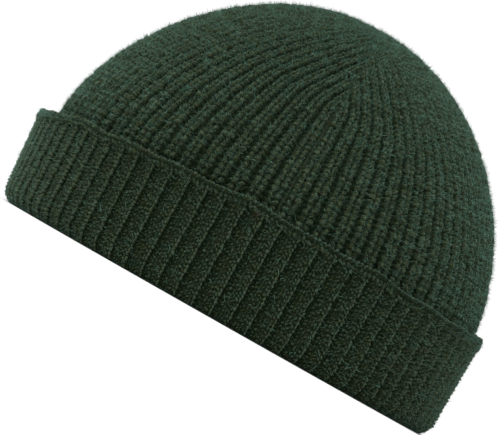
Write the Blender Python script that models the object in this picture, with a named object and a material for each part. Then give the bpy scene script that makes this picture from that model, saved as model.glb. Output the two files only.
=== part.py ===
"""A fisherman beanie, modelled as a Blender scene in metres, +Z up.

Two knitted pieces of one rib: the crown, a dome of ribs that end in pairs along its
decrease lines, and the cuff, a band that turns up round it from a fold.
The front is at -X and the back at +X. The beanie stands on its fold, at Z = 0, and the
origin is the middle of the ring that it stands on.
"""

import math
from collections import namedtuple

import bpy

MM = 0.001

# Overall sizes, over the cuff's cast-on edge and from the fold to the top of the crown
BEANIE_LENGTH = 212 * MM
BEANIE_WIDTH = 190 * MM
BEANIE_HEIGHT = 142 * MM

# The fabric: its own thickness, and how deep its furrows are below its ribs
FABRIC = 3.4 * MM
RIB_DEPTH = 1.6 * MM
GORES = 4
RIBS_PER_GORE = 21

# The cuff
CUFF_HEIGHT = 45 * MM
CUFF_CLEARANCE = 0.5 * MM
CUFF_STAND_OFF = 1.6 * MM
FOLD_CORNER_DEPTH = 3.4 * MM
FOLD_CORNER_RISE = 6.0 * MM
RETURN_HEIGHT = 9.0 * MM
EDGE_HEIGHT = 3.0 * MM
EDGE_PROUD = 0.5 * MM

# The crown
SEAT_GAP = 0.3 * MM
CROWN_FULLNESS = 1.68
CROWN_SET_BACK = 1.5 * MM
LEAN_BACK = 2.0 * MM
LEAN_AWAY = 5.0 * MM
GATHER_SHIFT = 25 * MM
GATHER_DENT = 1.5 * MM
GATHER_SPREAD = 9.0 * MM
DECREASE_START = 0.53

# The cuff round the head: how tall it stands at each bearing, as a share of its height, and
# how far its foot is drawn in from its edge
CuffStation = namedtuple("CuffStation", "bearing_deg height foot_inset")
CUFF_STATIONS = (
    CuffStation(0, 1.01, 2.4 * MM),
    CuffStation(90, 0.97, 2.8 * MM),
    CuffStation(180, 0.89, 4.6 * MM),
    CuffStation(270, 1.00, 2.6 * MM),
)

# The wool's dark green, seen on the rib's full face and on its flatter one
CROWN_COLOUR = (0.030, 0.048, 0.031)
CUFF_COLOUR = (0.026, 0.038, 0.025)
WOOL_ROUGHNESS = 0.95

# Worked out from the sizes above
BULK = FABRIC + RIB_DEPTH
CROWN_INSET = BULK + CUFF_STAND_OFF
CROWN_RISE = BEANIE_HEIGHT - CUFF_HEIGHT
HEM_HEIGHT = RETURN_HEIGHT + SEAT_GAP
FULL_SPAN = RIBS_PER_GORE / 2
GORE_ANGLE = 2 * math.pi / GORES

# How finely the plain part of the crown and the fold's corners are cut
WALL_RINGS = 1
DOME_RINGS = 3
CORNER_STEPS = 2

# A place on the knit: the gore, how many ribs from the gore's middle, and the half width of
# that gore there, also in ribs
Wale = namedtuple("Wale", "gore offset span")


def smooth_share(x):
    """0 to 1 with level ends."""
    x = min(1.0, max(0.0, x))
    return x * x * (3 - 2 * x)


def cuff_at(bearing):
    """(height, foot inset) of the cuff at a bearing, eased between its stations."""
    step = 360 / len(CUFF_STATIONS)
    place = (math.degrees(bearing) % 360) / step
    index = int(place) % len(CUFF_STATIONS)
    near, far = CUFF_STATIONS[index], CUFF_STATIONS[(index + 1) % len(CUFF_STATIONS)]
    share = smooth_share(place - int(place))
    height = near.height + share * (far.height - near.height)
    inset = near.foot_inset + share * (far.foot_inset - near.foot_inset)
    return height * CUFF_HEIGHT, inset


def wales(span):
    """Every crest and furrow round one ring whose gores are 2 * span ribs wide."""
    steps = round(4 * span)
    return [
        Wale(gore, step / 2 - span, span)
        for gore in range(GORES)
        for step in range(steps)
    ]


def bearing_of(wale):
    """The angle round the crown. Gores meet on the two axes, and the first starts at +X."""
    return GORE_ANGLE * (wale.gore + 0.5 + wale.offset / (2 * wale.span))


def furrow(wale):
    """0 on a rib's crest and 1 in the furrow beside it. Gores meet in a furrow."""
    return abs((wale.offset + wale.span) % 1 - 0.5) * 2


def oval(bearing, inset):
    """A point on the cuff's outline, drawn in by inset."""
    return (
        (BEANIE_LENGTH / 2 - inset) * math.cos(bearing),
        (BEANIE_WIDTH / 2 - inset) * math.sin(bearing),
    )


def dome_point(bearing, latitude, sink):
    """A point on the crown's dome, sunk below its crests by sink along the dome's normal."""
    half_length = BEANIE_LENGTH / 2 - CROWN_INSET
    half_width = BEANIE_WIDTH / 2 - CROWN_INSET
    around, up = math.cos(latitude), math.sin(latitude)
    rise = up ** (2 / CROWN_FULLNESS)
    lean = math.sin(rise * math.pi / 2) ** 2
    normal = (
        around * math.cos(bearing) / half_length,
        around * math.sin(bearing) / half_width,
        up / CROWN_RISE,
    )
    sink /= math.hypot(*normal)
    back = CROWN_SET_BACK + LEAN_BACK * lean
    return (
        half_length * around * math.cos(bearing) + back - sink * normal[0],
        half_width * around * math.sin(bearing) + LEAN_AWAY * lean - sink * normal[1],
        CUFF_HEIGHT + CROWN_RISE * rise - sink * normal[2],
    )


def dome_place(bearing, reach):
    """(bearing, latitude) on the dome of a place on the knit, reach being 0 where the knit is
    gathered and 1 at the dome's foot. The gather sits off the dome's top, towards -Y."""
    arc = CROWN_RISE * math.pi / 2
    drawn = GATHER_SHIFT / arc * (1 - reach**2) ** 2
    x, y = reach * math.cos(bearing), reach * math.sin(bearing) - drawn
    return math.atan2(y, x), (1 - math.hypot(x, y)) * math.pi / 2


def wall_point(wale, share):
    """A point on the crown's upright wall, from its hem at share 0 to the dome's foot at 1."""
    bearing = bearing_of(wale)
    hem_inset = cuff_at(bearing)[1] + BULK + CUFF_CLEARANCE
    inset = hem_inset + share * (CROWN_INSET - hem_inset) + RIB_DEPTH * furrow(wale)
    x, y = oval(bearing, inset)
    return (x + CROWN_SET_BACK * share, y, HEM_HEIGHT + share * (CUFF_HEIGHT - HEM_HEIGHT))


def knit_point(wale, reach):
    """A point on the crown's ribbed dome."""
    gathered = math.exp(-((reach * CROWN_RISE * math.pi / 2 / GATHER_SPREAD) ** 2))
    depth = RIB_DEPTH * furrow(wale) * (1 - gathered) + GATHER_DENT * gathered
    return dome_point(*dome_place(bearing_of(wale), reach), depth)


def reach_of(span):
    """Where on the dome the gores have narrowed to 2 * span ribs, at an even rib width."""
    full = math.sin(DECREASE_START * math.pi / 2)
    return math.asin(full * span / FULL_SPAN) / (math.pi / 2)


def sew(faces, low, high):
    """Faces between two rings of point numbers. Where the gores narrow, the outer ribs of the
    lower ring end at the corner of the upper gore."""
    wide, narrow = len(low) // GORES, len(high) // GORES
    ended = (wide - narrow) // 2
    for gore in range(GORES):
        foot = [low[(gore * wide + i) % len(low)] for i in range(wide + 1)]
        head = [high[(gore * narrow + i) % len(high)] for i in range(narrow + 1)]
        for i in range(ended):
            faces.append((foot[i], foot[i + 1], head[0]))
        for i in range(narrow):
            a, b = foot[ended + i], foot[ended + i + 1]
            faces.append((a, b, head[i + 1], head[i]))
        for i in range(ended + narrow, wide):
            faces.append((foot[i], foot[i + 1], head[-1]))


def add_ring(points, ring):
    """Adds a ring of points and returns their numbers."""
    first = len(points)
    points.extend(ring)
    return list(range(first, len(points)))


def wool(name, colour, roughness):
    """A plain knitted wool material."""
    material = bpy.data.materials.new(name)
    material.use_nodes = True
    shader = material.node_tree.nodes["Principled BSDF"]
    shader.inputs["Base Color"].default_value = (*colour, 1.0)
    shader.inputs["Roughness"].default_value = roughness
    shader.inputs["Metallic"].default_value = 0.0
    return material


def add_piece(name, points, faces, material):
    """An object with its own mesh and material, shaded smooth away from its sharp edges."""
    mesh = bpy.data.meshes.new(name)
    mesh.from_pydata(points, [], faces)
    mesh.materials.append(material)
    mesh.shade_smooth()
    mesh.set_sharp_from_angle(angle=math.radians(30))
    piece = bpy.data.objects.new(name, mesh)
    bpy.context.scene.collection.objects.link(piece)
    return piece


def build_crown(material):
    """The dome of ribs, one wall thick, from the gathered top down to its hem in the fold."""
    points, faces, rings = [], [], []
    for step in range(WALL_RINGS):
        share = step / WALL_RINGS
        rings.append([wall_point(wale, share) for wale in wales(FULL_SPAN)])
    for step in range(DOME_RINGS + 1):
        reach = 1 + (DECREASE_START - 1) * step / DOME_RINGS
        rings.append([knit_point(wale, reach) for wale in wales(FULL_SPAN)])
    span = FULL_SPAN - 1
    while span > 0:
        rings.append([knit_point(wale, reach_of(span)) for wale in wales(span)])
        span -= 1
    numbers = [add_ring(points, ring) for ring in rings]
    for low, high in zip(numbers, numbers[1:]):
        sew(faces, low, high)
    top = len(points)
    points.append(dome_point(*dome_place(0.0, 0.0), GATHER_DENT))
    last = numbers[-1]
    faces.extend((a, b, top) for a, b in zip(last, last[1:] + last[:1]))
    crown = add_piece("crown", points, faces, material)
    wall = crown.modifiers.new("fabric", "SOLIDIFY")
    wall.thickness = FABRIC
    wall.offset = -1
    return crown


# A corner of the cuff's section: how far in from its outer face, how high, and how much of
# the rib's depth shows there
Corner = namedtuple("Corner", "across rise ribbed")


def cuff_section(bearing):
    """The cuff's section at a bearing: up the hidden side of the return inside the fold, down
    its face, under the fold, up the outside, over the cast-on edge and down into the slot."""
    height, foot_inset = cuff_at(bearing)
    quarter = [math.pi / 2 * i / CORNER_STEPS for i in range(CORNER_STEPS + 1)]
    back = BULK + CUFF_CLEARANCE
    face = back + FABRIC

    def up(rise, across, ribbed=1.0):
        """A corner on the outer band, which leans out from its foot."""
        return Corner(across + foot_inset * (1 - rise / height), rise, ribbed)

    section = [Corner(back, FABRIC, 1.0), Corner(back, RETURN_HEIGHT, 1.0)]
    section.append(Corner(face, RETURN_HEIGHT, 1.0))
    for turn in quarter:
        across = face + RIB_DEPTH / 2 - FOLD_CORNER_DEPTH * (1 - math.cos(turn))
        rise = FOLD_CORNER_RISE * (1 - math.sin(turn))
        section.append(Corner(across, rise, math.cos(turn)))
    for turn in quarter:
        across = RIB_DEPTH / 2 * math.cos(turn) + FOLD_CORNER_DEPTH * (1 - math.sin(turn))
        rise = FOLD_CORNER_RISE * (1 - math.cos(turn))
        section.append(Corner(across, rise, math.sin(turn)))
    # The fold is drawn in by the foot's inset, and the band above it leans out from there
    section = [c._replace(across=c.across + foot_inset) for c in section]
    section += [
        up(height - EDGE_HEIGHT, EDGE_PROUD),
        up(height - EDGE_HEIGHT / 2, 0.0, 0.3),
        up(height, FABRIC / 4, 0.3),
        up(height, EDGE_PROUD + FABRIC, 0.3),
        up(height - EDGE_HEIGHT, EDGE_PROUD + FABRIC),
        up(FABRIC, EDGE_PROUD + FABRIC),
    ]
    return section


def build_cuff(material):
    """The turned-up band, swept round the crown through its section, ribs and all."""
    points, faces = [], []
    around = wales(FULL_SPAN)
    sections = [cuff_section(bearing_of(wale)) for wale in around]
    numbers = []
    for corner in range(len(sections[0])):
        ring = []
        for wale, section in zip(around, sections):
            across, rise, ribbed = section[corner]
            inset = across + RIB_DEPTH * furrow(wale) * ribbed
            ring.append((*oval(bearing_of(wale), inset), rise))
        numbers.append(add_ring(points, ring))
    for low, high in zip(numbers, numbers[1:] + numbers[:1]):
        sew(faces, low, high)
    return add_piece("cuff", points, faces, material)


def main():
    for old in list(bpy.data.objects):
        bpy.data.objects.remove(old)
    build_crown(wool("crown_wool", CROWN_COLOUR, WOOL_ROUGHNESS))
    build_cuff(wool("cuff_wool", CUFF_COLOUR, WOOL_ROUGHNESS))


main()
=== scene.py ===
"""A knitted fisherman beanie, dressed stitch by stitch round its measured frame.

The fabric is a half-fisherman's rib. Its full face, plump columns of paired stitches, shows on
the crown, and its flatter face, narrow raised ribs with slanted strands between them, shows on
the turned-up cuff and inside the crown. Both faces are surfaces whose every point carries a
place on the knit: a wale, counted in ribs round the head, and a course, counted up the fabric.
"""

import math
from collections import namedtuple

import bpy
import numpy as np
from bpy.props import FloatProperty, FloatVectorProperty, IntProperty, PointerProperty
from mathutils import Matrix, Vector


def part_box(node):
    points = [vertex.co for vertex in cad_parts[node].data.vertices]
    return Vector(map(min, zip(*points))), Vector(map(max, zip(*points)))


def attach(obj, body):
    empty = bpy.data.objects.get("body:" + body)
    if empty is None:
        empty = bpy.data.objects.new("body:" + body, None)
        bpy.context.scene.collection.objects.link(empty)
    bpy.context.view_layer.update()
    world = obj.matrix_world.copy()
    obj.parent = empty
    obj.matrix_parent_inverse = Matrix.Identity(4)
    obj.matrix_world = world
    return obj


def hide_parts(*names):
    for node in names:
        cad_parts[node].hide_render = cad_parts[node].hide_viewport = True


bl_info = {
    "name": "Fisherman beanie",
    "version": (1, 0, 0),
    "blender": (4, 5, 0),
    "location": "3D View > Sidebar > Beanie",
    "description": "Knits a ribbed wool beanie round its measured frame and sets a studio for it",
    "category": "Add Mesh",
}

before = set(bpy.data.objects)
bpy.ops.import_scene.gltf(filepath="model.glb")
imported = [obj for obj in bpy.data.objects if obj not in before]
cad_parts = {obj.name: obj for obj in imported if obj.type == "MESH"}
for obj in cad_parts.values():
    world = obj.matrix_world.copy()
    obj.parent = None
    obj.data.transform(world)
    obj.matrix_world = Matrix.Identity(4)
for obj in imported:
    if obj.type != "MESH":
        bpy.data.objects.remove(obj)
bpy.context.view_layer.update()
CROWN_LOW, CROWN_HIGH = (np.array(corner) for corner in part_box("crown"))
CUFF_LOW, CUFF_HIGH = (np.array(corner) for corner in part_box("cuff"))

MM = 0.001
TURN = 2 * math.pi

# The frame's ovals: half the cuff's length and width over its edge, and the crown's
CUFF_HALF = (CUFF_HIGH - CUFF_LOW)[:2] / 2
CROWN_HALF = (CROWN_HIGH - CROWN_LOW)[:2] / 2
CROWN_SET_BACK = (CROWN_HIGH + CROWN_LOW)[0] / 2
CROWN_TOP = CROWN_HIGH[2]
HEM_HEIGHT = CROWN_LOW[2]

# The fabric, as thick as the frame's walls
FABRIC = 3.4 * MM
BULK = 5.0 * MM
SLOT = 0.5 * MM

# The crown's form, as the frame has it. The gather lies off the top by its shift, in a dent
CUFF_LINE = 45 * MM
CROWN_FULLNESS = 1.68
LEAN_BACK = 2.0 * MM
LEAN_AWAY = 5.0 * MM
GATHER_SHIFT = 25 * MM
GATHER_DENT = 1.5 * MM
GATHER_SPREAD = 9.0 * MM
CROWN_RISE = CROWN_TOP - CUFF_LINE
CROWN_ARC = CROWN_RISE * math.pi / 2

# Where up the dome the ribs start to end, from 1 at its foot to 0 at the gather, and how fast:
# an ending of 1 keeps each rib's width, and less lets the ribs narrow as well
DECREASE_START = 0.53
RIB_ENDING = 0.5

# The cuff's section, and how it stands at the back, the far side, the front and the near side
FOLD_CORNER_DEPTH = 3.4 * MM
FOLD_CORNER_RISE = 6.0 * MM
FOLD_SLACK = 0.8 * MM
EDGE_PROUD = 0.5 * MM
EDGE_DEPTH = 2.6 * MM
EDGE_STEP = 0.7 * MM
TURN_IN_HEIGHT = 10 * MM
CUFF_STATION_HEIGHTS = np.array((1.01, 0.97, 0.89, 1.00)) * CUFF_LINE
CUFF_STATION_INSETS = np.array((2.4, 2.8, 4.6, 2.6)) * MM
EDGE_WAVE = 0.7 * MM
SIDE_SWAY = 0.6 * MM

# Where the mesh is cut across one rib: coarsely under the full face's stitches, and on the
# flatter face closely at the two edges of its raised band
GORES = 4
CORE_CUTS = (0.0, 0.14, 0.34, 0.66, 0.86)
FLAT_FACE_CUTS = (0.0, 0.21, 0.34, 0.55, 0.72, 0.83)
FLAT_FACE_SHIFT = 0.20
INSIDE_CUTS = (0.0, 0.12, 0.30, 0.50, 0.60, 0.80)
LEG_CUTS = (5, 4)

# Where across its width a length of yarn is cut, by how finely it is cut
YARN_CUTS = {3: (-1.0, 0.0, 1.0), 4: (-1.0, -0.42, 0.42, 1.0)}

# How far up the stitches the lines between the crown's gores lie, from 0 to 1, and how near to
# them, in ribs, a rib starts to sink
SEAM_RELIEF = 0.6
SEAM_REACH = 0.35

# How far below the cuff's line the crown has stitches and fuzz, and how much of its wall is
# plain because the cuff covers it
HIDDEN_COURSES = 4
FUZZ_OVERLAP = 8 * MM
PLAIN_SHARE = 0.72
PLAIN_ROWS = 8

# Where the light comes from, the upper left in front, and how wide it is, then how far the floor
# reaches each way and where its corners lie
LIGHT_FROM = Vector((-0.34, -0.28, 0.90))
LIGHT_WIDTH = math.radians(70)
FLOOR_REACH = 30.0
FLOOR_CORNERS = ((-1, -1), (1, -1), (1, 1), (-1, 1))


def number(name, description, default, **kind):
    """A property that is one number."""
    return FloatProperty(name=name, description=description, default=default, **kind)


def small_length(name, description, millimetres):
    """A property that is a length of the knit or the fuzz."""
    return number(name, description, millimetres * MM, unit="LENGTH", precision=5)


def angle(name, description, degrees):
    """A property that is an angle."""
    return number(name, description, math.radians(degrees), subtype="ANGLE")


def factor(name, description, default):
    """A property from 0 to 1."""
    return number(name, description, default, subtype="FACTOR", min=0.0, max=1.0)


def count_of(name, description, default):
    """A property that counts something."""
    return IntProperty(name=name, description=description, default=default, min=1)


def tint(name, description, default):
    """A colour property."""
    return FloatVectorProperty(
        name=name, description=description, default=default, subtype="COLOR", min=0.0, max=1.0
    )


class BeanieKnit(bpy.types.PropertyGroup):
    """The rib's gauge and relief."""

    ribs_per_gore: count_of("Ribs per gore", "Ribs in each quarter of the beanie", 21)
    course: small_length("Course", "Height of one course of stitches", 2.85)
    strand: small_length("Strand", "Spacing of the strands on the flatter face", 1.75)
    core_relief: small_length("Core relief", "Depth of the crown's furrows", 2.3)
    leg_height: small_length("Leg height", "How far a stitch's leg rises", 1.9)
    leg_sink: small_length("Leg sink", "How deep a stitch's leg is rooted", 1.7)
    leg_width: number("Leg width", "Width of a stitch's leg, in ribs", 0.37)
    leg_aside: number("Leg aside", "From a rib's middle to a leg's, in ribs", 0.185)
    leg_lean: number("Leg lean", "How far half a leg leans aside, in ribs", 0.075)
    flat_relief: small_length("Flat relief", "Depth of the cuff's recesses below its ribs", 1.3)
    slubs: factor("Slubs", "How much the yarn varies along each stitch", 0.14)
    unevenness: factor("Unevenness", "How much one stitch differs from the next", 0.22)


class BeanieFuzz(bpy.types.PropertyGroup):
    """The halo of loose wool fibres."""

    crown_down: count_of("Crown down", "Short fibres on the crown", 170000)
    crown_fibres: count_of("Crown fibres", "Long loose fibres on the crown", 8000)
    cuff_down: count_of("Cuff down", "Short fibres on the cuff", 34000)
    cuff_fibres: count_of("Cuff fibres", "Long loose fibres on the cuff", 3000)
    down_length: small_length("Down length", "Usual length of a short fibre", 1.65)
    down_width: small_length("Down width", "Width of a short fibre at its root", 0.16)
    length: small_length("Fibre length", "Usual length of a loose fibre", 2.2)
    width: small_length("Fibre width", "Width of a loose fibre at its root", 0.15)


class BeanieWool(bpy.types.PropertyGroup):
    """The heathered wool's colours."""

    ground: tint("Ground", "The yarn's main dark green", (0.029, 0.043, 0.021))
    # Also the painted highlight on the stitches' tops
    light: tint("Light", "Pale flecks of fibre", (0.084, 0.117, 0.071))
    teal: tint("Teal", "Cool green fibres", (0.024, 0.058, 0.040))
    olive: tint("Olive", "Warm green fibres", (0.036, 0.046, 0.016))
    brown: tint("Brown", "Scattered brown fibres", (0.038, 0.027, 0.018))
    # Also the painted shade in the hollows between the stitches
    dark: tint("Dark", "Nearly black fibres", (0.003, 0.008, 0.0025))
    # Partly the loose fibres' own paler colour, partly painted light for the white surround
    # glowing through them
    fuzz: tint("Fuzz", "The loose fibres", (0.124, 0.275, 0.205))


class BeanieStage(bpy.types.PropertyGroup):
    """The studio: floor, light and camera."""

    floor: tint("Floor", "The pale floor", (0.90, 0.90, 0.90))
    sun: number("Soft light", "Strength of the light above", 2.9)
    surround: number("Surround", "Strength of the white surround", 0.43)
    distance: number("Camera distance", "From it to the beanie's middle", 0.72, unit="LENGTH")
    elevation: angle("Camera elevation", "Angle of the view above the horizon", -3.2)
    roll: angle("Camera roll", "How far the beanie leans to the right in the picture", 29.5)


# Shape


def ease(x):
    """0 to 1 with level ends."""
    x = np.clip(x, 0.0, 1.0)
    return x * x * (3 - 2 * x)


def between_stations(bearing, values):
    """A value at each bearing, eased between the cuff's four stations."""
    place = np.degrees(bearing) % 360 / (360 / len(values))
    index = place.astype(int) % len(values)
    following = values[(index + 1) % len(values)]
    return values[index] + ease(place - np.floor(place)) * (following - values[index])


def waver(bearing, turns, seed):
    """A smooth uneven wave round the head, about -1 to 1."""
    rng = np.random.default_rng(seed)
    phases = rng.uniform(0, TURN, len(turns))
    return sum(np.cos(n * bearing + p) for n, p in zip(turns, phases)) / math.sqrt(len(turns))


def unit(vectors):
    """The vectors, each one long."""
    return vectors / np.linalg.norm(vectors, axis=-1, keepdims=True)


def stacked(*parts):
    """Coordinates given axis by axis, as an array of points."""
    return np.stack(np.broadcast_arrays(*parts), -1)


def oval_normal(bearing, half):
    """The outward normal of an oval with these half sizes."""
    return unit(stacked(np.cos(bearing) / half[0], np.sin(bearing) / half[1], 0.0))


def outward(points):
    """Directions off the beanie's rounded form, level below the cuff's edge."""
    middle = np.array([CROWN_SET_BACK, 0.0, CUFF_LINE])
    away = (points - middle) / np.array([*CROWN_HALF, CROWN_RISE]) ** 2
    away[..., 2] = np.maximum(away[..., 2], 0)
    return unit(away)


def foot_inset(bearing):
    """How far the fold stands in from the cuff's edge at a bearing."""
    return between_stations(bearing, CUFF_STATION_INSETS)


def gathered(reach):
    """How tightly the knit is drawn together at places up the dome, from 0 to 1."""
    return np.exp(-((reach * CROWN_ARC / GATHER_SPREAD) ** 2))


def dome(bearing, reach):
    """Points and normals of the crown's dome at places on the knit. Reach is 0 where the knit is
    gathered, which lies off the dome's top towards -Y, and 1 at the dome's foot."""
    x = reach * np.cos(bearing)
    y = reach * np.sin(bearing) - GATHER_SHIFT / CROWN_ARC * (1 - reach**2) ** 2
    around = np.arctan2(y, x)
    latitude = (1 - np.hypot(x, y)) * math.pi / 2
    flat = np.cos(latitude)
    up = np.clip(np.sin(latitude), 0, 1)
    rise = up ** (2 / CROWN_FULLNESS)
    lean = np.sin(rise * math.pi / 2) ** 2
    points = stacked(
        CROWN_HALF[0] * flat * np.cos(around) + CROWN_SET_BACK + LEAN_BACK * lean,
        CROWN_HALF[1] * flat * np.sin(around) + LEAN_AWAY * lean,
        CUFF_LINE + CROWN_RISE * rise,
    )
    normals = unit(
        stacked(
            flat * np.cos(around) / CROWN_HALF[0],
            flat * np.sin(around) / CROWN_HALF[1],
            CROWN_FULLNESS / 2 * up ** (2 - 2 / CROWN_FULLNESS) / CROWN_RISE,
        )
    )
    return points - normals * (GATHER_DENT * gathered(reach))[..., None], normals


def wall(bearing, share):
    """Points and normals of the crown's wall behind the cuff, from its hem to the dome's foot."""
    hem_inset = foot_inset(bearing) + BULK + SLOT
    half = [
        CUFF_HALF[i] - hem_inset + share * (CROWN_HALF[i] - CUFF_HALF[i] + hem_inset)
        for i in range(2)
    ]
    points = stacked(
        half[0] * np.cos(bearing) + CROWN_SET_BACK * share,
        half[1] * np.sin(bearing),
        HEM_HEIGHT + share * (CUFF_LINE - HEM_HEIGHT),
    )
    return points, oval_normal(bearing, CROWN_HALF)


# Stitches


def core_face(wale, course):
    """What lies under the full face's stitches, from 0 in a furrow to 0.5 under a column of
    stitches, with the strands that cross the furrow."""
    aside = np.abs((wale - np.floor(wale)) * 2 - 1)
    column = np.clip(1 - (aside / 0.92) ** 3, 0, 1)
    return 0.45 * column + 0.40 * (1 - column) * np.sin(math.pi * course) ** 2


def flat_face(wale, strand, swell):
    """The rib's flatter face, from 0 in a recess to about 1 on the thin ridge that edges its
    raised band, with slanted strands all over."""
    rib = np.floor(wale).astype(int)
    across = wale - rib
    band = 1 - ease((across - 0.54) / 0.08) + ease((across - 0.66) / 0.28)
    bright_ridge = np.exp(-(((across - 0.52) / 0.040) ** 2))
    faint_ridge = np.exp(-(((across - 0.11) / 0.045) ** 2))
    ridge = bright_ridge + 0.45 * faint_ridge
    slant = np.where(band > 0.5, -0.9 * across, 1.5 * across)
    row = np.floor(strand).astype(int)
    chance = swell[rib % swell.shape[0], row % swell.shape[1]]
    strokes = (0.5 + 0.5 * np.cos(TURN * (strand + slant + 0.5 * chance))) ** 1.3
    return 0.58 * band + 0.24 * ridge + strokes * (0.14 + 0.16 * (1 - band)) * (1 + chance)


def swell_table(knit, seed):
    """How much each stitch differs from its neighbours, by rib and course."""
    rng = np.random.default_rng(seed)
    return rng.uniform(-1, 1, (GORES * knit.ribs_per_gore, 64)) * knit.unevenness


# Meshes


def cells(grid):
    """The values at the four corners of each cell of a grid, in order round it."""
    return np.stack([grid[:-1, :-1], grid[:-1, 1:], grid[1:, 1:], grid[1:, :-1]], 2)


def corners_of(index, places):
    """Faces of a grid of point numbers whose rows run up and whose columns run round the head,
    as lists of corners and of each corner's place on the knit. Where neighbouring columns share
    a point, as at the end of a rib, a face loses a corner or is left out."""
    corners, where = cells(index).reshape(-1, 4), cells(places).reshape(-1, 4, 2)
    closed_below = corners[:, 0] == corners[:, 1]
    closed_above = corners[:, 2] == corners[:, 3]
    whole = ~closed_below & ~closed_above
    ending = ~closed_below & closed_above
    return [(corners[whole], where[whole]), (corners[ending][:, :3], where[ending][:, :3])]


def add_object(name, data):
    """A new object in the scene."""
    made = bpy.data.objects.new(name, data)
    bpy.context.scene.collection.objects.link(made)
    return made


def add_mesh(name, points, groups, relief, inward=False):
    """An object from groups of (corners, places), with the knit's places as its UV map and the
    painted light and shade of each point, dark in hollows and light on tops, as an attribute."""
    faces, places = [], []
    for corners, where in groups:
        if inward:
            corners, where = corners[:, ::-1], where[:, ::-1]
        faces += corners.tolist()
        places.append(where.reshape(-1, 2))
    mesh = bpy.data.meshes.new(name)
    mesh.from_pydata(points.tolist(), [], faces)
    if relief is not None:
        knit_map = mesh.uv_layers.new(name="knit")
        knit_map.uv.foreach_set("vector", np.concatenate(places).astype(np.float32).ravel())
        heights = mesh.attributes.new("relief", "FLOAT", "POINT")
        heights.data.foreach_set("value", relief.astype(np.float32).ravel())
    mesh.shade_smooth()
    return add_object(name, mesh)


def finish_piece(piece, material, node=None):
    """Gives a piece its material and its body, and hides the frame's node that it stands for."""
    piece.data.materials.append(material)
    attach(piece, "root")
    if node:
        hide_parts(node)


def raise_yarn(place, centre, lengthwise, crosswise, size, height, sink, tone, cuts, uneven):
    """Short plump lengths of yarn on a knitted face, as one mesh. Centres, lengthwise and
    crosswise steps are (wale, row) pairs, place gives points and normals, how far the yarn is
    flattened there and its place on the knit, and cuts says how finely each length is cut.
    Uneven gives a random number from -1 to 1 for each point, times how uneven the yarn is."""
    along = np.linspace(-1, 1, cuts[0])[:, None]
    across = np.array(YARN_CUTS[cuts[1]])[None, :]
    aside = across * (1 - 0.45 * along**2) * size
    wale, row = (
        centre[i] + lengthwise[i] * along + crosswise[i] * aside for i in range(2)
    )
    points, normals, standing, places = place(wale, row)
    plump = (0.15 + 0.85 * np.sqrt(1 - across**2)) * (1 - 0.75 * along**4)
    lift = height * plump * size * (1 + 0.4 * uneven) - sink
    points = points + normals * (lift * standing)[..., None]
    points[..., 2] = np.maximum(points[..., 2], 0.0)
    # Painted light and shade: each length lighter along its crown and darker at its edges, scaled
    # by its painted lightness
    relief = tone * (0.20 + 0.80 * plump * (0.4 + 0.6 * size)) * (1 + uneven) + 0 * wale
    count, rows, columns = wale.shape
    quads = cells(np.arange(rows * columns).reshape(rows, columns))
    first = np.arange(count)[:, None, None] * rows * columns
    corners = (first + quads.reshape(1, -1, 4)).reshape(-1, 4)
    groups = [(corners, places.reshape(-1, 2)[corners])]
    return points.reshape(-1, 3), groups, relief.ravel()


def grids(*ranges):
    """Every combination of the ranges' values, each as an array that broadcasts over lengths."""
    return [grid.ravel()[:, None, None] for grid in np.meshgrid(*ranges, indexing="ij")]


def stitch_legs(knit, seed):
    """The legs of the full face's stitches: two plump lengths of yarn for each stitch, which
    lean apart like a V and tuck in at both ends. Ribs that end at a line between gores take
    their stitches with them."""
    rng = np.random.default_rng(seed)
    ribs = knit.ribs_per_gore
    full_span = ribs / 2
    courses, reaches = course_table(knit)
    wall_courses = (CUFF_LINE - HEM_HEIGHT) / knit.course
    rib, side, course, gore = grids(
        np.arange(ribs) + 0.5 - full_span, (-1, 1),
        np.arange(-HIDDEN_COURSES, int(courses[-1])) + 0.5, np.arange(GORES),
    )
    chance = rng.uniform(-1, 1, (5, *rib.shape))
    centre = (
        rib + side * (knit.leg_aside + 0.02 * chance[0]),
        course + 0.08 * chance[1],
    )

    def span_at(row):
        reach = np.where(row < 0, 1.0, np.interp(row, courses, reaches))
        return reach, full_span * ribs_left(reach)

    _, span = span_at(centre[1])
    kept = ((np.abs(centre[0]) < span - 0.02) & (span > 0.3)).ravel()
    centre = [part[kept] for part in centre]
    side, gore, chance = side[kept], gore[kept], chance[:, kept]

    def place(wale, row):
        reach, span = span_at(row)
        wale = np.clip(wale, -span, span)
        share = np.clip(1 + row / wall_courses, 0, 1)
        bearing = TURN / GORES * (gore + 0.5 + wale / (2 * span))
        points, normals = crown_place(bearing, share, reach)
        standing = 1 - 0.5 * gathered(reach)
        return points, normals, standing, stacked(gore * ribs + wale + full_span, row)

    points, groups, relief = raise_yarn(
        place, centre,
        (side * knit.leg_lean * (1 + 0.35 * chance[2]), 0.62 + 0.06 * chance[3]),
        (knit.leg_width / 2, -0.20 * side), 1 + knit.unevenness * chance[4],
        knit.leg_height, knit.leg_sink, 1.05, LEG_CUTS,
        knit.slubs * rng.uniform(-1, 1, (len(side), *LEG_CUTS)),
    )
    return add_mesh("crown_stitches", points, groups, relief)


# A strand of the flatter face: how far across the rib it lies, half its length and half its
# width as (ribs, rows), how high it rises and how deep it is rooted in millimetres, how much
# lighter or darker it is painted, a painted highlight on the ridge and band and painted shade in
# the recess, and where it starts in the row
Strand = namedtuple("Strand", "across lengthwise crosswise height sink tone start")

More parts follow.
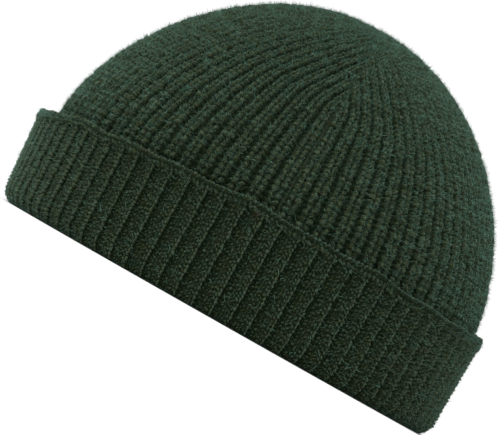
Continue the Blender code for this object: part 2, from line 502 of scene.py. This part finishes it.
# What fills one rib: the thin bright ridge, the band's two slanted strands, the faint ridge and
# the recess's two crossing strands
FLAT_FACE_STRANDS = (
    Strand(0.53, (0.015, 0.60), (0.076, 0.00), 1.65, 0.85, 1.66, 0.0),
    Strand(0.38, (0.080, 0.36), (0.048, -0.28), 1.45, 0.98, 1.27, 0.3),
    Strand(0.22, (0.080, -0.36), (0.048, 0.28), 1.40, 1.08, 1.21, 0.0),
    Strand(0.06, (-0.020, 0.52), (0.064, 0.00), 1.40, 1.10, 1.19, 0.5),
    Strand(0.71, (0.070, 0.28), (0.030, -0.24), 1.20, 1.60, 0.85, 0.2),
    Strand(0.88, (0.082, -0.32), (0.042, 0.27), 1.40, 1.30, 1.13, 0.6),
)

# The stitches that bind off the rolled edge: where each starts, as a share of the edge's roll,
# and how far it leans, in ribs
EDGE_STITCHES = ((0.22, 0.10), (0.50, -0.12), (0.80, 0.12))


def cuff_strands(knit, seed):
    """The yarn on the cuff: short strands that fill each rib of the flatter face, and the
    slanted stitches that bind off its rolled edge."""
    rng = np.random.default_rng(seed)
    ribs = GORES * knit.ribs_per_gore
    path = cuff_path()
    edge_start, band_start, face_end = (
        path[name] / knit.strand for name in ("edge_start", "band_start", "face_end")
    )
    sets = []
    for strand in FLAT_FACE_STRANDS:
        rows = np.arange(band_start + strand.start, face_end)
        sets.append((strand, *grids(np.arange(ribs), rows)))
    for quarter in np.arange(4) / 4:
        for start, lean in EDGE_STITCHES:
            across = quarter + 0.12 * (lean < 0)
            stitch = Strand(across, (lean, 0.80), (0.12, -0.20), 1.5, 0.75, 1.02, start)
            rows = [edge_start + start * (band_start - edge_start)]
            sets.append((stitch, *grids(np.arange(ribs), rows)))
    parts, count = [], 0

    def place(wale, row):
        points, normals, _, raised = cuff_place(path, wale / ribs * TURN, row * knit.strand)
        return points, normals, raised, stacked(wale, row)

    for strand, rib, row in sets:
        chance = rng.uniform(-1, 1, (4, *rib.shape))
        wale = rib + strand.across + FLAT_FACE_SHIFT + 0.025 * chance[0]
        steps = [
            (step[0] * (1 + 0.25 * chance[2]), step[1])
            for step in (strand.lengthwise, strand.crosswise)
        ]
        cuts = (4, 3) if strand.tone > 1 else (3, 3)
        points, groups, relief = raise_yarn(
            place, (wale, row + 0.22 * chance[1]), *steps,
            1 + 0.5 * knit.unevenness * chance[3], strand.height * MM, strand.sink * MM,
            strand.tone, cuts, knit.slubs * rng.uniform(-1, 1, (len(rib), *cuts)),
        )
        parts.append((points, [(corners + count, where) for corners, where in groups], relief))
        count += len(points)
    points, groups, relief = zip(*parts)
    return add_mesh(
        "cuff_stitches", np.concatenate(points), sum(groups, []), np.concatenate(relief), True
    )


def course_table(knit):
    """The reach of the dome's knit at each course, evenly spaced up the dome's slope."""
    reach = np.linspace(1, 0, 600)
    latitude = (1 - reach) * math.pi / 2
    out = CROWN_HALF.mean() * np.cos(latitude)
    up = CROWN_RISE * np.sin(latitude) ** (2 / CROWN_FULLNESS)
    arc = np.concatenate([[0], np.cumsum(np.hypot(np.diff(out), np.diff(up)))])
    return arc / knit.course, reach


def ribs_left(reach):
    """The share of a gore's ribs that is left at places up the dome."""
    narrowing = np.sin(reach * math.pi / 2) / math.sin(DECREASE_START * math.pi / 2)
    return np.minimum(1, narrowing) ** RIB_ENDING


def crown_rows(knit, per_course):
    """(share up the wall, reach on the dome, course) for each row of the crown's mesh."""
    wall_courses = (CUFF_LINE - HEM_HEIGHT) / knit.course
    wall_rows = wall_courses * per_course
    plain = np.linspace(0, PLAIN_SHARE, PLAIN_ROWS, endpoint=False)
    ribbed = 1 - np.arange(round((1 - PLAIN_SHARE) * wall_rows), 0, -1) / wall_rows
    shares = np.concatenate([plain, ribbed])
    courses, reaches = course_table(knit)
    up = np.arange(0, courses[-1] - 0.25, 1 / per_course)
    reach = np.interp(up, courses, reaches)
    share = np.concatenate([shares, np.ones(len(up))])
    course = np.concatenate([(shares - 1) * wall_courses, up])
    return share, np.concatenate([np.ones(len(shares)), reach]), course


def crown_sheet(name, knit, per_course, cuts, height_of, depth, inward):
    """One face of the crown's fabric, from its hem to the gathered top. Each gore is a strip of
    ribs that end, from its outer ribs inwards, on the lines where gores meet."""
    ribs = knit.ribs_per_gore
    full_span = ribs / 2
    share, reach, course = (row[:, None] for row in crown_rows(knit, per_course))
    span = full_span * ribs_left(reach)
    offsets = (np.arange(ribs)[:, None] + np.array(cuts)).ravel()
    offsets = np.append(offsets, ribs) - full_span
    wale = np.clip(offsets, -span, span)
    fading = 1 - gathered(reach)
    count = len(wale) * GORES
    seam = np.arange(count).reshape(-1, GORES)
    seam_points, seam_normals = crown_place(np.arange(GORES) * TURN / GORES, share, reach)
    seam_depth = (SEAM_RELIEF - 1) * depth * fading
    points = [(seam_points + seam_normals * seam_depth[..., None]).reshape(-1, 3)]
    # Painted light and shade of each point: dark in the furrows and where the knit is gathered,
    # lighter on the columns
    relief = [np.full(count, SEAM_RELIEF)]
    groups = []
    for gore in range(GORES):
        bearing = TURN / GORES * (gore + 0.5 + wale / (2 * span))
        places, normals = crown_place(bearing, share, reach)
        height = height_of(gore * ribs + wale + full_span, course)
        to_seam = span - np.abs(wale)
        ending = np.where(span < full_span, ease(to_seam / SEAM_REACH), 1.0)
        height = SEAM_RELIEF + (height - SEAM_RELIEF) * ending
        inner = np.abs(wale) < span - 1e-9
        places = places + normals * ((height - 1) * depth * fading)[..., None]
        number = np.cumsum(inner.ravel()).reshape(inner.shape) - 1 + count
        left, right = seam[:, [gore]], seam[:, [(gore + 1) % GORES]]
        number = np.where(inner, number, np.where(wale < 0, left, right))
        points.append(places[inner])
        relief.append((height * fading)[inner])
        count += int(inner.sum())
        where = stacked(gore * ribs + wale + full_span, course)
        groups += corners_of(number, where)
        groups.append(cap_of(number[-1], where[-1]))
    middle, _ = dome(np.zeros(1), np.zeros(1))
    points.append(middle)
    relief.append(np.zeros(1))
    groups = [(np.where(corners < 0, count, corners), where) for corners, where in groups]
    return add_mesh(name, np.concatenate(points), groups, np.concatenate(relief), inward)


def shift_inward(piece, depth):
    """Moves an inner face off the outer one, towards the hollow."""
    mesh = piece.data
    points = np.empty(len(mesh.vertices) * 3)
    mesh.vertices.foreach_get("co", points)
    points = points.reshape(-1, 3)
    points -= outward(points) * depth
    mesh.vertices.foreach_set("co", points.ravel())
    mesh.update()


def cap_of(numbers, where):
    """Triangles from a gore's last row to the crown's middle, whose number is put in later."""
    low, high = numbers[:-1], numbers[1:]
    real = low != high
    corners = np.stack([low, high, np.full(len(low), -1)], -1)[real]
    return corners, np.stack([where[:-1], where[1:], where[1:]], 1)[real]


def crown_place(bearing, share, reach):
    """Points and normals of the crown at rows of its wall and of its dome."""
    bearing, share, reach = np.broadcast_arrays(bearing, share, reach)
    both = zip(wall(bearing, share), dome(bearing, reach))
    return [np.where(share[..., None] < 1, below, above) for below, above in both]


def cuff_path():
    """The cuff's section as a walk: up the hidden face behind the band, over the rolled edge,
    down the band, round the fold and up inside. Each step has how far in from the outer face and
    how high it is, how strong the ribs and how raised the strands are there, and whether it is
    inside, where the foot's inset draws it in fully. How far along the edge's roll starts, the
    band starts and the face ends comes with them."""
    back = EDGE_PROUD + FABRIC
    roll = back / 2
    brow = CUFF_LINE - roll
    band_top = brow - EDGE_DEPTH
    face = BULK + SLOT + FABRIC + FOLD_SLACK
    corner = FOLD_CORNER_DEPTH
    steps = []

    def walk(*columns):
        steps.extend(zip(*(column.tolist() for column in np.broadcast_arrays(*columns))))

    walk(back, np.linspace(TURN_IN_HEIGHT, brow - 3 * MM, 7), 0.5, 0.5, 0.0)
    edge_start = len(steps)
    turn = np.linspace(0, math.pi, 11)
    walk(roll + roll * np.cos(turn), brow + roll * np.sin(turn), 0.1, 0.9, 0.0)
    under = np.linspace(0.25, 1, 4)
    settling = 0.1 + 0.9 * ease(under)
    walk(EDGE_STEP * ease(under), brow + (band_top - brow) * under, settling, 0.9, 0.0)
    band_start = len(steps) - 1
    down = np.linspace(0, 1, 32)[1:]
    walk(EDGE_STEP * (1 - down), band_top + down * (FOLD_CORNER_RISE - band_top), 1.0, 1.0, 0.0)
    turn = np.linspace(0, math.pi / 2, 9)[1:]
    pressed = 1 - 0.85 * ease(turn / 1.5)
    walk(
        corner * (1 - np.cos(turn)) + FOLD_SLACK * ease(turn),
        FOLD_CORNER_RISE * (1 - np.sin(turn)), pressed, pressed, 0.0,
    )
    walk(np.linspace(corner + 1.5 * MM, face - corner - 0.4 * MM, 3), 0.0, 0.15, 0.15, 1.0)
    turn = np.linspace(0, math.pi / 2, 9)
    pressed = 0.15 + 0.85 * ease(turn / 1.5)
    walk(
        face - corner * (1 - np.sin(turn)),
        FOLD_CORNER_RISE * (1 - np.cos(turn)), pressed, pressed, 1.0,
    )
    walk(face, np.linspace(FOLD_CORNER_RISE, HEM_HEIGHT + 0.6 * MM, 6)[1:], 1.0, 1.0, 1.0)
    inset, rise, ribbed, raised, inside = np.array(steps).T
    walked = np.concatenate([[0], np.cumsum(np.hypot(np.diff(inset), np.diff(rise)))])
    return {
        "walked": walked, "inset": inset, "rise": rise, "ribbed": ribbed, "raised": raised,
        "inside": inside, "edge_start": walked[edge_start], "band_start": walked[band_start],
        "face_end": walked[-1],
    }


def cuff_place(path, bearing, walked):
    """Points and normals of the cuff's fabric at a bearing and a distance along its section,
    and how strong the ribs and how raised the strands are there."""

    def points_at(walked):
        inset, rise, inside = (
            np.interp(walked, path["walked"], path[name]) for name in ("inset", "rise", "inside")
        )
        height = between_stations(bearing, CUFF_STATION_HEIGHTS)
        height = height + EDGE_WAVE * waver(bearing, (5, 9, 14, 23), seed=11)
        stretch = (height - FOLD_CORNER_RISE) / (CUFF_LINE - FOLD_CORNER_RISE)
        above = np.clip(rise - FOLD_CORNER_RISE, 0, None) * (1 - inside)
        z = rise + above * (stretch - 1)
        drawn = inside + (1 - inside) * (1 - z / height)
        sway = SIDE_SWAY * waver(bearing, (3, 7, 11), seed=12)
        sway = sway * ease(z / CUFF_LINE) * (1 - inside)
        inset = inset + foot_inset(bearing) * drawn + sway
        return stacked(
            (CUFF_HALF[0] - inset) * np.cos(bearing), (CUFF_HALF[1] - inset) * np.sin(bearing), z
        )

    near = 0.3 * MM
    walked = np.clip(walked, near, path["walked"][-1] - near)
    along = points_at(walked + near) - points_at(walked - near)
    around = stacked(-CUFF_HALF[0] * np.sin(bearing), CUFF_HALF[1] * np.cos(bearing), 0.0)
    ribbed, raised = (
        np.interp(walked, path["walked"], path[name]) for name in ("ribbed", "raised")
    )
    return points_at(walked), unit(np.cross(along, around + 0 * along)), ribbed, raised


def cuff_sheet(knit):
    """The cuff's fabric under its strands, as one surface round the head."""
    path = cuff_path()
    ribs = GORES * knit.ribs_per_gore
    wale = (np.arange(ribs)[:, None] + np.array(FLAT_FACE_CUTS)).ravel()[None, :]
    walked = path["walked"][:, None] + 0 * wale
    points, normals, ribbed, _ = cuff_place(path, wale / ribs * TURN + 0 * walked, walked)
    strand = walked / knit.strand
    face = flat_face(wale - FLAT_FACE_SHIFT, strand, swell_table(knit, seed=21))
    # Painted light and shade: dark in the recesses, lighter on the band and its ridges, even where
    # the ribs fade; halved when stored
    relief = face * ribbed + 0.4 * (1 - ribbed)
    depth = (face - 1.05) * ribbed * knit.flat_relief
    points = points + normals * depth[..., None]
    points[..., 2] = np.maximum(points[..., 2], 0.0)
    rows, columns = relief.shape
    index = np.arange(rows * columns).reshape(rows, columns)
    index = np.concatenate([index, index[:, :1]], axis=1)
    places = stacked(wale, strand)
    places = np.concatenate([places, places[:, :1] + np.array([ribs, 0.0])], axis=1)
    groups = corners_of(index, places)
    return add_mesh("cuff_knit", points.reshape(-1, 3), groups, 0.5 * relief.ravel(), True)


def knitted(name):
    """A piece that has been knitted already."""
    piece = bpy.data.objects.get(name)
    if piece is None:
        raise RuntimeError(f"There is no {name} yet: knit the crown and the cuff first")
    return piece


def face_values(source, name, size):
    """A measure of each face of a piece, as rows of so many numbers."""
    faces = source.data.polygons
    values = np.empty(len(faces) * size, np.float32)
    faces.foreach_get(name, values)
    return values.reshape(-1, size)


def scatter(source, count, rng, lowest):
    """Places on a piece's faces, evenly by area among those above a height, and their normals."""
    centres, normals = (face_values(source, name, 3) for name in ("center", "normal"))
    areas = face_values(source, "area", 1).ravel()
    weights = areas * (centres[:, 2] > lowest)
    chosen = rng.choice(len(areas), count, p=weights / weights.sum())
    root = centres[chosen].astype(float) + rng.normal(0, 0.3 * MM, (count, 3))
    return root, normals[chosen].astype(float)


def fibres(root, normal, length, width, lifts, curl, joints, rng):
    """Thin ribbons that curve away from their roots and taper to a point, as (points, faces).
    Lifts are the least and most that a fibre stands up, from 0 flat to 1 upright."""
    count = len(root)
    aside = unit(np.cross(normal, rng.normal(size=normal.shape)))
    lift = rng.uniform(*lifts, (count, 1))
    heading = unit(normal * lift + aside * np.sqrt(1 - lift**2))
    bend = unit(rng.normal(size=normal.shape) + 0.3 * aside)
    side = unit(np.cross(heading, rng.normal(size=normal.shape))) * width / 2
    rails = []
    for t in np.linspace(0, 1, joints):
        spine = root - normal * 0.3 * MM + length * (heading * t + curl * bend * t * t)
        taper = side * (1 - 0.4 * t)
        rails += [spine - taper, spine + taper] if t < 1 else [spine]
    points = np.stack(rails, axis=1)
    points[..., 2] = np.maximum(points[..., 2], 0.0)
    first = np.arange(count)[:, None] * len(rails)
    faces = [(first + np.array((k, k + 1, k + 3, k + 2))) for k in range(0, 2 * joints - 4, 2)]
    faces.append(first + np.array((0, 1, 2)) + 2 * joints - 4)
    return points.reshape(-1, 3), faces


def fuzz_from(source, name, counts, fuzz, seed, lowest=-math.inf):
    """Loose wool on a knitted piece above a height: down of short straight fibres, and longer
    curling ones. Counts are how many there are of each."""
    rng = np.random.default_rng(seed)
    root, normal = scatter(source, counts[0], rng, lowest)
    short = fuzz.down_length * np.minimum(rng.lognormal(-0.1, 0.4, (counts[0], 1)), 1.8)
    upright = unit(outward(root) + 0.10 * normal)
    down, down_faces = fibres(root, upright, short, fuzz.down_width, (0.88, 1.0), 0.2, 2, rng)
    root, normal = scatter(source, counts[1], rng, lowest)
    long = fuzz.length * np.minimum(rng.lognormal(-0.25, 0.45, (counts[1], 1)), 1.6)
    curls, curl_faces = fibres(root, normal, long, fuzz.width, (0.15, 0.95), 0.45, 3, rng)
    faces = down_faces + [face + len(down) for face in curl_faces]
    groups = [(face, np.zeros((*face.shape, 2))) for face in faces]
    return add_mesh(name, np.concatenate([down, curls]), groups, None)


# Materials


def new_tree_group(name, inputs, outputs):
    """An empty shader group with these sockets, and its input and output nodes."""
    group = bpy.data.node_groups.new(name, "ShaderNodeTree")
    for socket, kind, default in inputs:
        made = group.interface.new_socket(socket, in_out="INPUT", socket_type=kind)
        made.default_value = default
    for socket, kind in outputs:
        group.interface.new_socket(socket, in_out="OUTPUT", socket_type=kind)
    return group, group.nodes.new("NodeGroupInput"), group.nodes.new("NodeGroupOutput")


def add_node(tree, kind, settings=None, **inputs):
    """A node with its settings, and its inputs set to values or linked to sockets."""
    made = tree.nodes.new(kind)
    for name, value in (settings or {}).items():
        setattr(made, name, value)
    for name, value in inputs.items():
        socket = made.inputs[int(name[1:])] if name[0] == "_" else made.inputs[name]
        if isinstance(value, bpy.types.NodeSocket):
            tree.links.new(value, socket)
        else:
            socket.default_value = value
    return made


def scaled(tree, vector, scale):
    """A vector multiplied along each axis."""
    made = add_node(tree, "ShaderNodeVectorMath", {"operation": "MULTIPLY"}, _0=vector, _1=scale)
    return made.outputs["Vector"]


def noise(tree, vector, scale, detail=2.0, roughness=0.5):
    """Noise of about 0 to 1."""
    made = add_node(
        tree, "ShaderNodeTexNoise", Vector=vector, Scale=scale, Detail=detail, Roughness=roughness
    )
    return made.outputs["Fac"]


def between(tree, value, low, high, to_low=0.0, to_high=1.0):
    """A value moved from one range to another, and held inside it."""
    settings = {"clamp": True, "interpolation_type": "SMOOTHSTEP"}
    made = add_node(tree, "ShaderNodeMapRange", settings, Value=value)
    limits = {"From Min": low, "From Max": high, "To Min": to_low, "To Max": to_high}
    for name, limit in limits.items():
        made.inputs[name].default_value = limit
    return made.outputs["Result"]


def mixed(tree, share, first, second):
    """A mix of two colours."""
    made = tree.nodes.new("ShaderNodeMix")
    made.data_type = "RGBA"
    for index, value in ((0, share), (6, first), (7, second)):
        if isinstance(value, bpy.types.NodeSocket):
            tree.links.new(value, made.inputs[index])
        else:
            made.inputs[index].default_value = value
    return made.outputs[2]


def maths(tree, operation, first, second):
    """One sum or product of two values."""
    made = add_node(tree, "ShaderNodeMath", {"operation": operation}, _0=first, _1=second)
    return made.outputs[0]


SHADES = ("Ground", "Light", "Teal", "Olive", "Brown", "Dark")


def heather_group():
    """Heathered yarn: a ground colour clouded with three others, then speckled with pale and
    nearly black fibres, with painted shade nearly black in hollows and painted highlight on tops."""
    colour = "NodeSocketColor"
    group, given, put = new_tree_group(
        "Heathered yarn",
        [("Place", "NodeSocketVector", (0, 0, 0)), ("Relief", "NodeSocketFloat", 0.5)]
        + [(shade, colour, (0.1, 0.1, 0.1, 1)) for shade in SHADES],
        [("Colour", colour), ("Tone", "NodeSocketFloat")],
    )
    place, relief = given.outputs["Place"], given.outputs["Relief"]
    light, dark = given.outputs["Light"], given.outputs["Dark"]
    body = given.outputs["Ground"]
    clouds = (("Olive", 0.15, 0.50, 0.64), ("Teal", 0.19, 0.52, 0.66), ("Brown", 0.27, 0.57, 0.67))
    for number, (shade, scale, low, high) in enumerate(clouds):
        moved = add_node(
            group, "ShaderNodeVectorMath", {"operation": "ADD"}, _0=place,
            _1=(37.0 * number, 19.0 * number, 0.0),
        )
        cloud = noise(group, moved.outputs["Vector"], scale, 3.0, 0.6)
        share = between(group, cloud, low, high, 0.0, 0.8)
        body = mixed(group, share, body, given.outputs[shade])
    fibres = noise(group, scaled(group, place, (1.0, 1.3, 1.0)), 0.95, 3.0, 0.65)
    specks = noise(group, place, 1.5, 2.0, 0.6)
    # The last two layers are painted light and shade from each point's height: dark in hollows,
    # light on tops
    layers = (
        (fibres, 0.51, 0.38, 0.85, dark), (fibres, 0.51, 0.62, 0.65, light),
        (specks, 0.54, 0.68, 0.70, light),
        (relief, 1.0, 0.0, 0.95, dark), (relief, 0.95, 1.35, 0.75, light),
    )
    for value, low, high, most, shade in layers:
        body = mixed(group, between(group, value, low, high, 0.0, most), body, shade)
    group.links.new(body, put.inputs["Colour"])
    tone = maths(group, "ADD", fibres, maths(group, "MULTIPLY", specks, 0.5))
    group.links.new(tone, put.inputs["Tone"])
    return group


def fibre_group():
    """The relief of spun fibres on a yarn, as strokes that slant both ways."""
    group, given, put = new_tree_group(
        "Spun fibres",
        [("Place", "NodeSocketVector", (0, 0, 0)), ("Fineness", "NodeSocketFloat", 1.0)],
        [("Height", "NodeSocketFloat")],
    )
    heights = []
    for angle in (35, -40):
        turned = add_node(
            group, "ShaderNodeVectorRotate", {"rotation_type": "Z_AXIS"},
            Vector=given.outputs["Place"], Angle=math.radians(angle),
        )
        drawn = scaled(group, turned.outputs["Vector"], (0.45, 2.4, 1.0))
        heights.append(noise(group, drawn, given.outputs["Fineness"], 3.0, 0.65))
    group.links.new(maths(group, "ADD", *heights), put.inputs["Height"])
    return group


def opaque(colour):
    """A colour with full alpha."""
    return (*colour, 1.0)


def new_material(name):
    """A material with its node tree and its shader."""
    material = bpy.data.materials.new(name)
    material.use_nodes = True
    tree = material.node_tree
    return material, tree, tree.nodes["Principled BSDF"]


def wool_material(name, knit, wool, row_height):
    """Knitted wool whose flecks and fibres follow the knit's own map, with rows of this height.
    Its colour also carries painted shade in hollows and painted highlight on tops.
    """
    groups = bpy.data.node_groups
    heathered = groups.get("Heathered yarn") or heather_group()
    spun = groups.get("Spun fibres") or fibre_group()
    material, tree, shader = new_material(name)
    knit_map = add_node(tree, "ShaderNodeUVMap", {"uv_map": "knit"})
    rib_width = math.pi * CUFF_HALF.sum() / (GORES * knit.ribs_per_gore)
    to_mm = (rib_width / MM, row_height / MM, 1.0)
    place = scaled(tree, knit_map.outputs["UV"], to_mm)
    # Painted light and shade, stored on each point when the piece is knitted
    relief = add_node(tree, "ShaderNodeAttribute", {"attribute_name": "relief"})
    heather = add_node(
        tree, "ShaderNodeGroup", {"node_tree": heathered}, Place=place,
        Relief=relief.outputs["Fac"],
        **{shade: opaque(getattr(wool, shade.lower())) for shade in SHADES},
    )
    fibres = add_node(tree, "ShaderNodeGroup", {"node_tree": spun}, Place=place, Fineness=1.1)
    bumped = add_node(
        tree, "ShaderNodeBump", Strength=0.6, Distance=0.45 * MM, Height=fibres.outputs["Height"]
    )
    tree.links.new(heather.outputs["Colour"], shader.inputs["Base Color"])
    rough = between(tree, heather.outputs["Tone"], 0.3, 1.1, 0.98, 0.80)
    tree.links.new(rough, shader.inputs["Roughness"])
    tree.links.new(bumped.outputs["Normal"], shader.inputs["Normal"])
    shader.inputs["Specular IOR Level"].default_value = 0.06
    shader.inputs["Sheen Weight"].default_value = 0.45
    shader.inputs["Sheen Roughness"].default_value = 0.20
    shader.inputs["Sheen Tint"].default_value = (0.42, 0.88, 0.74, 1.0)
    return material


def fuzz_material(wool):
    """Loose fibres: not all of one colour, and lighter than the yarn, partly by their own colour
    and partly by painted light for the surround glowing through them.
    """
    material, tree, shader = new_material("loose_fibres")
    place = add_node(tree, "ShaderNodeTexCoord").outputs["Object"]
    share = between(tree, noise(tree, place, 260.0, 2.0), 0.30, 0.55)
    colour = mixed(tree, share, opaque(wool.olive), opaque(wool.fuzz))
    tree.links.new(colour, shader.inputs["Base Color"])
    shader.inputs["Roughness"].default_value = 0.75
    shader.inputs["Specular IOR Level"].default_value = 0.3
    return material


# Operators


class BEANIE_OT_crown(bpy.types.Operator):
    """Knit the crown's outer face, stitch by stitch, over the fabric beneath the stitches"""

    bl_idname = "beanie.knit_crown"
    bl_label = "Knit the crown"

    def execute(self, context):
        knit, wool = context.scene.beanie_knit, context.scene.beanie_wool
        core = crown_sheet("crown_knit", knit, 2, CORE_CUTS, core_face, knit.core_relief, False)
        stitches = stitch_legs(knit, seed=20)
        material = wool_material("crown_wool", knit, wool, knit.course)
        finish_piece(core, material, "crown")
        finish_piece(stitches, material)
        return {"FINISHED"}


class BEANIE_OT_inside(bpy.types.Operator):
    """Knit the crown's inner face, which is the rib's flatter one"""

    bl_idname = "beanie.knit_inside"
    bl_label = "Knit the inside"

    def execute(self, context):
        knit, wool = context.scene.beanie_knit, context.scene.beanie_wool
        swell = swell_table(knit, seed=22)
        strands = knit.course / knit.strand

        def inner_face(wale, course):
            return 1 - flat_face(wale - FLAT_FACE_SHIFT, course * strands, swell)

        inside = crown_sheet(
            "crown_inside", knit, 3, INSIDE_CUTS, inner_face, knit.flat_relief, True
        )
        shift_inward(inside, FABRIC + 0.6 * MM)
        material = wool_material("crown_wool_inside", knit, wool, knit.course)
        finish_piece(inside, material)
        return {"FINISHED"}


class BEANIE_OT_cuff(bpy.types.Operator):
    """Knit the turned-up cuff with its rolled edge and its fold"""

    bl_idname = "beanie.knit_cuff"
    bl_label = "Knit the cuff"

    def execute(self, context):
        knit, wool = context.scene.beanie_knit, context.scene.beanie_wool
        material = wool_material("cuff_wool", knit, wool, knit.strand)
        finish_piece(cuff_sheet(knit), material, "cuff")
        finish_piece(cuff_strands(knit, seed=23), material)
        return {"FINISHED"}


class BEANIE_OT_fuzz(bpy.types.Operator):
    """Raise the loose fibres of the wool off the crown and the cuff"""

    bl_idname = "beanie.raise_fuzz"
    bl_label = "Raise the fuzz"

    def execute(self, context):
        fuzz, wool = context.scene.beanie_fuzz, context.scene.beanie_wool
        material = fuzz_material(wool)
        crown, cuff = knitted("crown_stitches"), knitted("cuff_stitches")
        halo = fuzz_from(
            crown, "crown_fuzz", (fuzz.crown_down, fuzz.crown_fibres), fuzz, 31,
            CUFF_LINE - FUZZ_OVERLAP,
        )
        finish_piece(halo, material)
        halo = fuzz_from(cuff, "cuff_fuzz", (fuzz.cuff_down, fuzz.cuff_fibres), fuzz, 32)
        finish_piece(halo, material)
        return {"FINISHED"}


class BEANIE_OT_stage(bpy.types.Operator):
    """Set the pale floor, the soft light and the camera"""

    bl_idname = "beanie.set_stage"
    bl_label = "Set the studio"

    # The photograph's frame: where its middle falls on the beanie, and its scale there
    PICTURE_WIDTH = 500 / 2.348 * MM
    PICTURE_MIDDLE = Vector((-6.2 * MM, 0.0, 44.7 * MM))

    def execute(self, context):
        stage = context.scene.beanie_stage
        self.lay_floor(stage)
        self.hang_light(stage)
        context.scene.world = self.surround(stage)
        context.scene.camera = self.place_camera(stage)
        context.scene.view_settings.view_transform = "Standard"
        return {"FINISHED"}

    def lay_floor(self, stage):
        """A pale matt floor just under the fold."""
        mesh = bpy.data.meshes.new("floor")
        corners = [(x * FLOOR_REACH, y * FLOOR_REACH, 0.0) for x, y in FLOOR_CORNERS]
        mesh.from_pydata(corners, [], [(0, 1, 2, 3)])
        material, _, shader = new_material("pale_floor")
        shader.inputs["Base Color"].default_value = opaque(stage.floor)
        shader.inputs["Roughness"].default_value = 1.0
        shader.inputs["Specular IOR Level"].default_value = 0.0
        mesh.materials.append(material)
        floor = add_object("floor", mesh)
        floor.location.z = -0.1 * MM

    def hang_light(self, stage):
        """One wide soft light from above."""
        sun = bpy.data.lights.new("soft_light", "SUN")
        sun.energy = stage.sun
        sun.angle = LIGHT_WIDTH
        lamp = add_object("soft_light", sun)
        lamp.rotation_mode = "QUATERNION"
        lamp.rotation_quaternion = LIGHT_FROM.to_track_quat("Z", "Y")

    def surround(self, stage):
        """A white surround that the camera sees as pure white."""
        world = bpy.data.worlds.new("studio")
        world.use_nodes = True
        tree = world.node_tree
        background = tree.nodes["Background"]
        background.inputs["Color"].default_value = (1.0, 1.0, 1.0, 1.0)
        seen = add_node(tree, "ShaderNodeLightPath").outputs["Is Camera Ray"]
        strength = between(tree, seen, 0.0, 1.0, stage.surround, 1.05)
        tree.links.new(strength, background.inputs["Strength"])
        return world

    def place_camera(self, stage):
        """The camera near the floor, rolled so that the beanie leans."""
        camera = bpy.data.cameras.new("camera")
        camera.sensor_width = 36.0
        camera.lens = camera.sensor_width * stage.distance / self.PICTURE_WIDTH
        camera.clip_start = 0.01
        holder = add_object("camera", camera)
        back = Vector((0.0, -math.cos(stage.elevation), math.sin(stage.elevation)))
        look = (-back).to_track_quat("-Z", "Y")
        roll = Matrix.Rotation(stage.roll, 4, "Z")
        place = Matrix.Translation(self.PICTURE_MIDDLE + back * stage.distance)
        holder.matrix_world = place @ look.to_matrix().to_4x4() @ roll
        return holder


class BEANIE_PT_panel(bpy.types.Panel):
    """The beanie's sizes, colours and steps"""

    bl_label = "Fisherman beanie"
    bl_idname = "BEANIE_PT_panel"
    bl_space_type = "VIEW_3D"
    bl_region_type = "UI"
    bl_category = "Beanie"

    def draw(self, context):
        for group in PROPERTY_GROUPS:
            settings = getattr(context.scene, group)
            box = self.layout.box()
            for name in settings.__annotations__:
                box.prop(settings, name)
        for step in STEPS:
            self.layout.operator(step.bl_idname)


PROPERTY_GROUPS = {
    "beanie_knit": BeanieKnit,
    "beanie_fuzz": BeanieFuzz,
    "beanie_wool": BeanieWool,
    "beanie_stage": BeanieStage,
}
STEPS = (BEANIE_OT_crown, BEANIE_OT_inside, BEANIE_OT_cuff, BEANIE_OT_fuzz, BEANIE_OT_stage)
CLASSES = (*PROPERTY_GROUPS.values(), *STEPS, BEANIE_PT_panel)


def register():
    for made in CLASSES:
        bpy.utils.register_class(made)
    for name, group in PROPERTY_GROUPS.items():
        setattr(bpy.types.Scene, name, PointerProperty(type=group))


def unregister():
    for name in PROPERTY_GROUPS:
        delattr(bpy.types.Scene, name)
    for made in reversed(CLASSES):
        bpy.utils.unregister_class(made)


def main():
    register()
    bpy.ops.beanie.knit_crown()
    bpy.ops.beanie.knit_inside()
    bpy.ops.beanie.knit_cuff()
    bpy.ops.beanie.raise_fuzz()
    bpy.ops.beanie.set_stage()


if __name__ == "__main__":
    main()
